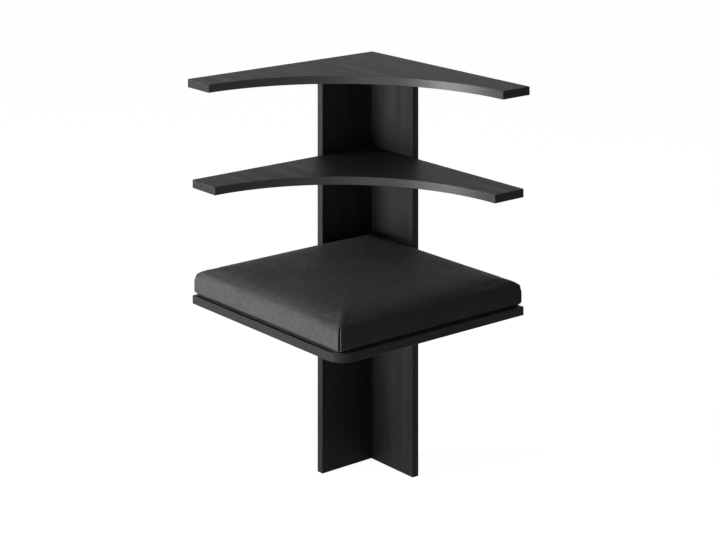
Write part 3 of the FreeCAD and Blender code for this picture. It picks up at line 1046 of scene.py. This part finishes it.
def screw_places(node):
    """Where each screw of a CAD node has its head, which way it goes in, and how long it is."""
    merged_copy("screw_places", node)
    bpy.ops.object.mode_set(mode="EDIT")
    bpy.ops.mesh.select_all(action="SELECT")
    bpy.ops.mesh.separate(type="LOOSE")
    bpy.ops.object.mode_set(mode="OBJECT")
    places = []
    for screw in list(bpy.context.selected_objects):
        low, high = mesh_box(screw)
        axis = max(range(3), key=lambda index: high[index] - low[index])
        middle = (low + high) / 2
        widest = max(screw.data.vertices, key=lambda v: (v.co - middle).length)
        inwards = Vector((0, 0, 0))
        inwards[axis] = 1 if widest.co[axis] < middle[axis] else -1
        head = middle.copy()
        head[axis] = low[axis] if inwards[axis] > 0 else high[axis]
        places.append((head, inwards, high[axis] - low[axis]))
        bpy.data.objects.remove(screw)
    return places


def turn_profile(steps):
    """Extrude the selected disc down step by step: each step is a drop and the radius it ends at."""
    radius = steps[0][1]
    depth = 0.0
    for drop, next_radius in steps[1:]:
        bpy.ops.mesh.extrude_region_move(TRANSFORM_OT_translate={"value": (0, 0, -drop)})
        depth += drop
        share = next_radius / radius
        bpy.ops.transform.resize(value=(share, share, 1), center_override=(0, 0, -depth))
        radius = next_radius


def six_sided(piece, half_width, lowest):
    """Turn the round socket in a screw's head into a six-sided one."""
    for vertex in piece.data.vertices:
        reach = math.hypot(vertex.co.x, vertex.co.y)
        if vertex.co.z > lowest and 0 < reach < SOCKET_EDGE_REACH * half_width:
            angle = math.atan2(vertex.co.y, vertex.co.x) % (math.pi / 3) - math.pi / 6
            share = half_width / math.cos(angle) / reach
            vertex.co.x *= share
            vertex.co.y *= share


def screw(length, shank_radius, head_radius, head_height):
    """A screw from the origin down: a head with a six-sided socket, a threaded shank and a point."""
    bpy.ops.object.select_all(action="DESELECT")
    face_radius = head_radius - HEAD_CHAMFER
    bpy.ops.mesh.primitive_circle_add(vertices=SCREW_SIDES, radius=face_radius, fill_type="NGON")
    piece = bpy.context.object
    bpy.ops.object.mode_set(mode="EDIT")
    bpy.ops.mesh.select_all(action="SELECT")
    root_radius = THREAD_ROOT_SHARE * shank_radius
    turns = int((length - head_height) * THREADED_SHARE / THREAD_PITCH)
    plain_length = length - head_height - NECK_DROP - (turns + 1) * THREAD_PITCH
    steps = [
        (0, face_radius),
        (HEAD_CHAMFER, head_radius),
        (head_height - HEAD_CHAMFER, head_radius),
        (NECK_DROP, shank_radius),
        (plain_length, shank_radius),
    ]
    for _ in range(turns):
        steps.append((0.5 * THREAD_PITCH, root_radius))
        steps.append((0.5 * THREAD_PITCH, shank_radius))
    steps.append((THREAD_PITCH, POINT_SHARE * shank_radius))
    turn_profile(steps)
    bpy.ops.mesh.select_all(action="SELECT")
    bpy.ops.mesh.normals_make_consistent(inside=False)
    bpy.ops.object.mode_set(mode="OBJECT")
    select_faces(piece, lambda centre, normal: normal.z > 0.9 and centre.length < 0.1 * MM)
    socket_depth = SOCKET_DEPTH_SHARE * head_height
    bpy.ops.mesh.inset(thickness=SOCKET_SHARE * head_radius)
    bpy.ops.mesh.extrude_region_move(TRANSFORM_OT_translate={"value": (0, 0, -socket_depth)})
    bpy.ops.object.mode_set(mode="OBJECT")
    six_sided(piece, SOCKET_SHARE * head_radius, -SOCKET_LOWEST_SHARE * head_height)
    take(piece)
    bpy.ops.object.shade_smooth_by_angle(angle=math.radians(30))
    return piece


def screw_set(name, node, shank_radius, head_radius, head_height):
    """All screws of a CAD node, each turned into its hole."""
    places = screw_places(node)
    model = screw(places[0][2], shank_radius, head_radius, head_height)
    copies = []
    for head, inwards, _ in places:
        copy = model.copy()
        copy.data = model.data.copy()
        scene.collection.objects.link(copy)
        turn = Vector((0, 0, -1)).rotation_difference(inwards).to_matrix().to_4x4()
        copy.data.transform(Matrix.Translation(head) @ turn)
        copies.append(copy)
    bpy.data.objects.remove(model)
    piece = join(copies)
    piece.name = name
    finish_piece(piece, "bench", "screw", zinc_steel, node)


cushion()
base_cloth()
zip_chain()
zip_slider()
screw_set("corner_joint_screws", "corner_screws", *JOINT_SCREW)
screw_set("shelf_joint_screws", "lower_shelf_screws", *JOINT_SCREW)
screw_set("seat_joint_screws", "seat_screws", *JOINT_SCREW)
screw_set("bracket_wood_screws", "bracket_seat_screws", *WOOD_SCREW)
